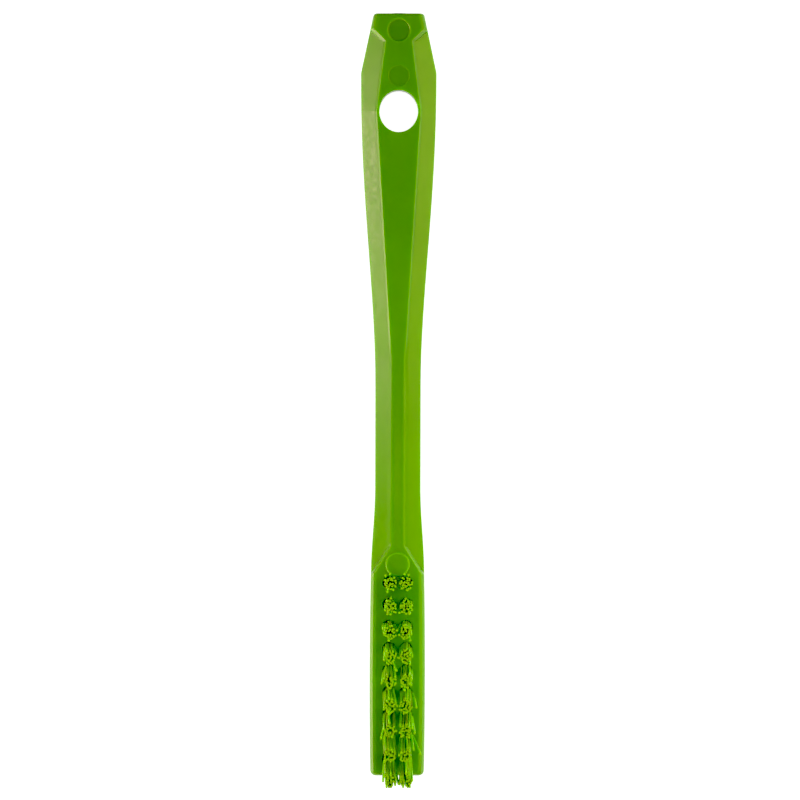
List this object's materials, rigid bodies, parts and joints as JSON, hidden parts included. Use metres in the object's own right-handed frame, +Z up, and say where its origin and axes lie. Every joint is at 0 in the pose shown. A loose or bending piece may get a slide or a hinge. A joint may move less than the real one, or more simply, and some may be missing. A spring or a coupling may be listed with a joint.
{
  "type": "scrub brush",
  "caption": "Narrow one-piece scrub brush with a waisted, chamfered grip, a hanging hole and short stiff tufts that fan out towards the tip of the head",
  "frame": {"origin": "bottom centre of the whole brush's bounding box, on the flat back that the brush lies on", "axes": "+Y along the brush to the grip's hanging end, with the head's tip at -Y; +Z up, out of the bristle side; X across"},
  "size_m": [0.0204, 0.2083, 0.0271],
  "materials": {
    "green_polypropylene": "satin moulding",
    "green_bristle": "smooth filament",
    "stainless_wire": "drawn and flattened"
  },
  "bodies": {
    "root": {"handle": "green_polypropylene", "tuft_r1_left": "green_bristle", "tuft_r1_right": "green_bristle", "tuft_r2_left": "green_bristle", "tuft_r2_right": "green_bristle", "tuft_r3_left": "green_bristle", "tuft_r3_right": "green_bristle", "tuft_r4_left": "green_bristle", "tuft_r4_right": "green_bristle", "tuft_r5_left": "green_bristle", "tuft_r5_right": "green_bristle", "tuft_r6_left": "green_bristle", "tuft_r6_right": "green_bristle", "tuft_r7_left": "green_bristle", "tuft_r7_right": "green_bristle", "tuft_r8_left": "green_bristle", "tuft_r8_right": "green_bristle", "tuft_r9_left": "green_bristle", "tuft_r9_right": "green_bristle", "anchor_r1_left": "stainless_wire", "anchor_r1_right": "stainless_wire", "anchor_r2_left": "stainless_wire", "anchor_r2_right": "stainless_wire", "anchor_r3_left": "stainless_wire", "anchor_r3_right": "stainless_wire", "anchor_r4_left": "stainless_wire", "anchor_r4_right": "stainless_wire", "anchor_r5_left": "stainless_wire", "anchor_r5_right": "stainless_wire", "anchor_r6_left": "stainless_wire", "anchor_r6_right": "stainless_wire", "anchor_r7_left": "stainless_wire", "anchor_r7_right": "stainless_wire", "anchor_r8_left": "stainless_wire", "anchor_r8_right": "stainless_wire", "anchor_r9_left": "stainless_wire", "anchor_r9_right": "stainless_wire"}
  },
  "joints": []
}
